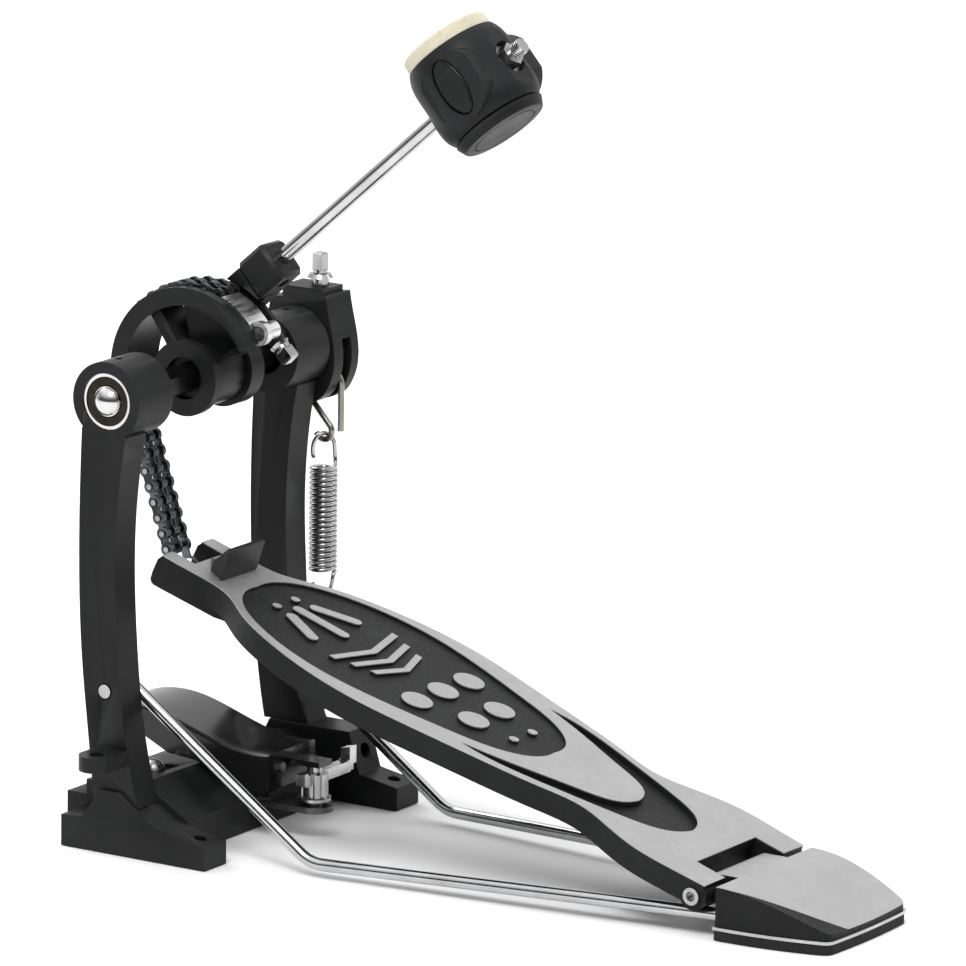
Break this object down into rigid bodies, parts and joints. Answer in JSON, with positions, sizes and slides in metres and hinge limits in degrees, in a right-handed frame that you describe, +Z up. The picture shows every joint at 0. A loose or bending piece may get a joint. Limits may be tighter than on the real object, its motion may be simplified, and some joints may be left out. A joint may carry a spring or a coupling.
{
  "type": "bass drum pedal",
  "caption": "Chain-drive bass drum pedal: hinged grip footboard, round drive wheel, felt and hard beater on a rod, side spring, hoop clamp with wing bolt and twin stay rods.",
  "frame": {"origin": "on the floor, midway between the two posts and straight below the axle, on the underside of the base crossbar", "axes": "+X towards the player's right (spring side), +Y towards the drum, +Z up"},
  "size_m": [0.169, 0.3456, 0.3309],
  "materials": {
    "black_casting": "satin black powder coat",
    "lever_black": "gloss black paint",
    "grey_steel": "zinc plated plate",
    "zinc_screw": "zinc plated",
    "black_screw": "black oxide",
    "plated_rod": "nickel plated",
    "board_aluminium": "brushed top, black recesses and sides",
    "heel_aluminium": "brushed top, black sides",
    "base_plate": "satin",
    "pad_rubber": "matt",
    "bearing_steel": "polished",
    "bearing_cage": "dark grease shield",
    "axle_steel": "dark chrome",
    "wheel_black": "satin black",
    "strap_chrome": "polished",
    "chain_dark": "black oxide chain",
    "rod_chrome": "polished",
    "head_plastic": "fine grain black",
    "cap_plastic": "satin black",
    "insert_plastic": "smooth black",
    "felt_cream": "pressed felt",
    "hook_nickel": "yellowish zinc wire",
    "spring_steel": "bright wire",
    "bolt_chrome": "polished",
    "wing_cast": "plated casting",
    "stop_black": "satin black"
  },
  "bodies": {
    "frame": {"left_post": "black_casting", "right_post": "black_casting", "left_foot": "black_casting", "right_foot": "black_casting", "base_crossbar": "black_casting", "crossbar_screws": "zinc_screw", "clamp_plate": "grey_steel", "hub_screws": "black_screw", "left_stay": "plated_rod", "right_stay": "plated_rod", "stay_screws": "zinc_screw", "heel_block": "heel_aluminium", "heel_plate": "base_plate", "heel_pad": "pad_rubber", "heel_screws": "zinc_screw", "left_bearing_outer": "bearing_steel", "right_bearing_outer": "bearing_steel", "left_bearing_balls": "bearing_steel", "right_bearing_balls": "bearing_steel", "left_bearing_shield": "bearing_cage", "right_bearing_shield": "bearing_cage", "eye_bolt": "zinc_screw", "lock_nut": "zinc_screw"},
    "axle": {"axle": "axle_steel", "drive_wheel": "wheel_black", "beater_holder": "wheel_black", "beater_set_screw": "black_screw", "chain_strap": "strap_chrome", "strap_clamp": "strap_chrome", "strap_screw": "zinc_screw", "holder_key_bolt": "bolt_chrome", "spring_rocker": "black_casting", "rocker_key_bolt": "bolt_chrome", "chain_wrapped": "chain_dark", "left_bearing_inner": "bearing_steel", "right_bearing_inner": "bearing_steel"},
    "footboard": {"footboard": "board_aluminium", "chain_foot_pin": "bolt_chrome", "hinge_pin": "bolt_chrome", "toe_stop": "stop_black", "toe_stop_screw": "black_screw"},
    "beater_rod": {"beater_rod": "rod_chrome"},
    "beater_head": {"beater_head_body": "head_plastic", "beater_head_inserts": "insert_plastic", "beater_felt": "felt_cream", "beater_cap": "cap_plastic", "beater_nut": "zinc_screw"},
    "chain_span": {"chain_span": "chain_dark", "chain_end_plates": "chain_dark"},
    "spring_swing": {"tension_spring": "spring_steel"},
    "spring_hook": {"spring_hook": "hook_nickel"},
    "tension_nut": {"tension_nut": "zinc_screw"},
    "hoop_lever": {"hoop_lever": "lever_black", "lever_pin": "zinc_screw", "lever_screw": "zinc_screw"},
    "wing_bolt": {"wing_bolt": "wing_cast"},
    "chain_upper": {"chain_upper_links": "chain_dark"},
    "chain_lower": {"chain_lower_links": "chain_dark"}
  },
  "joints": [
    {"name": "axle_rotation", "type": "hinge", "parent": "frame", "child": "axle", "pos_m": [0, 0, 0.1784], "axis": [-1, 0, 0], "range_deg": [0, 45], "stiffness_Nm_per_rad": 0.45, "springref_deg": -40.11},
    {"name": "footboard_hinge", "type": "hinge", "parent": "frame", "child": "footboard", "pos_m": [0, -0.2486, 0.0158], "axis": [-1, 0, 0], "range_deg": [0, 6.6]},
    {"name": "chain_pin_5", "type": "hinge", "parent": "axle", "child": "chain_upper", "pos_m": [0, 0.02862, 0.19767], "axis": [1, 0, 0], "range_deg": [0, 10.78]},
    {"name": "chain_pin_3", "type": "hinge", "parent": "chain_upper", "child": "chain_lower", "pos_m": [0, 0.03364, 0.18606], "axis": [1, 0, 0], "range_deg": [0, 17.43]},
    {"name": "chain_pin_1", "type": "hinge", "parent": "chain_lower", "child": "chain_span", "pos_m": [0, 0.03414, 0.17342], "axis": [1, 0, 0], "range_deg": [0, 27.09]},
    {"name": "spring_swing", "type": "hinge", "parent": "frame", "child": "spring_swing", "pos_m": [0.077, -0.0044, 0.0745], "axis": [1, 0, 0], "range_deg": [0, 6.4]},
    {"name": "spring_stretch", "type": "slide", "parent": "spring_swing", "child": "spring_hook", "axis": [0, -0.0299, 0.9996], "range_m": [0, 0.0102], "deforming": ["tension_spring"]},
    {"name": "rod_height", "type": "slide", "parent": "axle", "child": "beater_rod", "axis": [0, -0.752, 0.6592], "range_m": [0, 0.008]},
    {"name": "beater_turn", "type": "hinge", "parent": "beater_rod", "child": "beater_head", "pos_m": [0.0125, -0.11607, 0.30236], "axis": [0, -0.752, 0.6592], "continuous": true},
    {"name": "tension_nut_turn", "type": "hinge", "parent": "frame", "child": "tension_nut", "pos_m": [0.077, -0.0044, 0.0326], "axis": [0, 0, 1], "continuous": true},
    {"name": "hoop_lever_tilt", "type": "hinge", "parent": "frame", "child": "hoop_lever", "pos_m": [0, -0.01, 0.0312], "axis": [-1, 0, 0], "range_deg": [0, 4]},
    {"name": "wing_bolt_turn", "type": "hinge", "parent": "frame", "child": "wing_bolt", "pos_m": [0, -0.054, 0.02], "axis": [0, 0, 1], "range_deg": [-175, 20]}
  ],
  "couplings": [
    {"joint": "footboard_hinge", "follows": "axle_rotation", "ratio": 0.14603},
    {"joint": "chain_pin_5", "follows": "axle_rotation", "ratio": 0.23269},
    {"joint": "chain_pin_3", "follows": "axle_rotation", "ratio": 0.37757},
    {"joint": "chain_pin_1", "follows": "axle_rotation", "ratio": 0.58805},
    {"joint": "spring_swing", "follows": "axle_rotation", "ratio": 0.137},
    {"joint": "spring_stretch", "follows": "axle_rotation", "m_per_rad": 0.0127}
  ]
}
